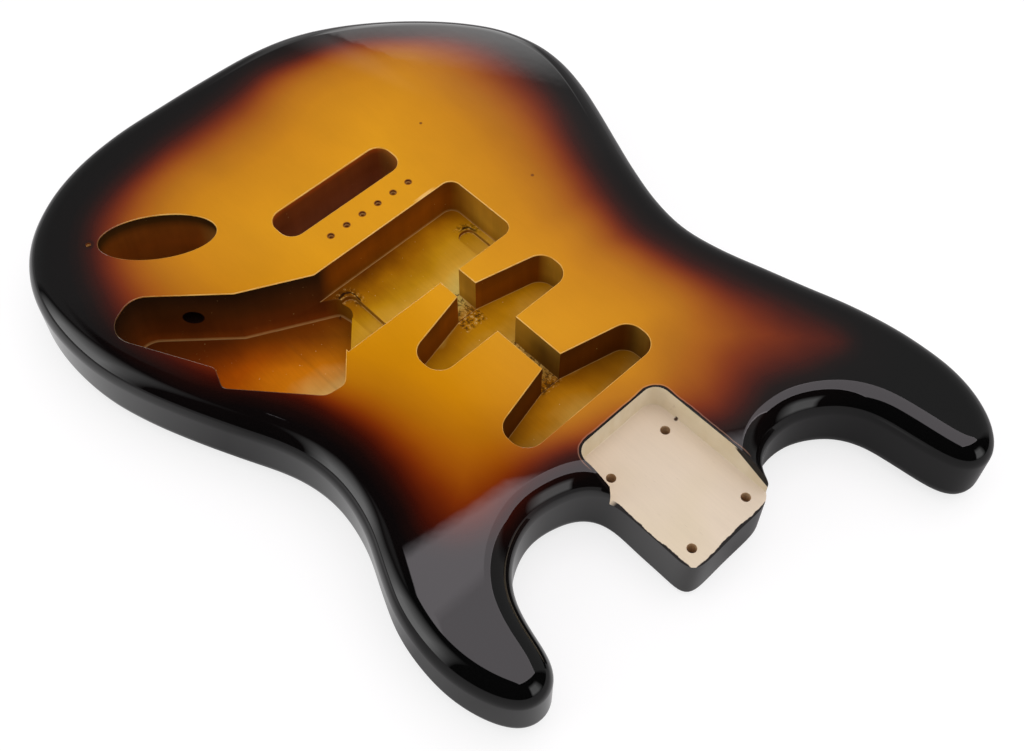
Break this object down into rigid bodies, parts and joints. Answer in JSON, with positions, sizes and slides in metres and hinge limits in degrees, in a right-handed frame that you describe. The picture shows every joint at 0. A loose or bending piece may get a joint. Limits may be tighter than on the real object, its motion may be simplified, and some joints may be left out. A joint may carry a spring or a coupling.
{
  "type": "electric guitar body",
  "caption": "Bare double-cutaway electric guitar body of glued boards in gloss sunburst, routed for a bolt-on neck, single-coil pickups, controls and a vibrato.",
  "frame": {"origin": "middle of the four neck screw holes, on the flat back face", "axes": "+X along the centreline towards the neck, +Y towards the bass side (the longer horn), +Z out of the top face"},
  "size_m": [0.4559, 0.3273, 0.0445],
  "materials": {
    "sunburst_wood": "gloss lacquer, amber centre burst through red-brown to black edges; bare pale wood in the neck pocket",
    "dark_edge_wood": "gloss lacquer, black edge of the sunburst"
  },
  "bodies": {
    "root": {"centre_board": "sunburst_wood", "bass_board": "sunburst_wood", "treble_board": "sunburst_wood", "bass_bout_strip": "dark_edge_wood", "bass_horn_strip": "dark_edge_wood"}
  },
  "joints": []
}
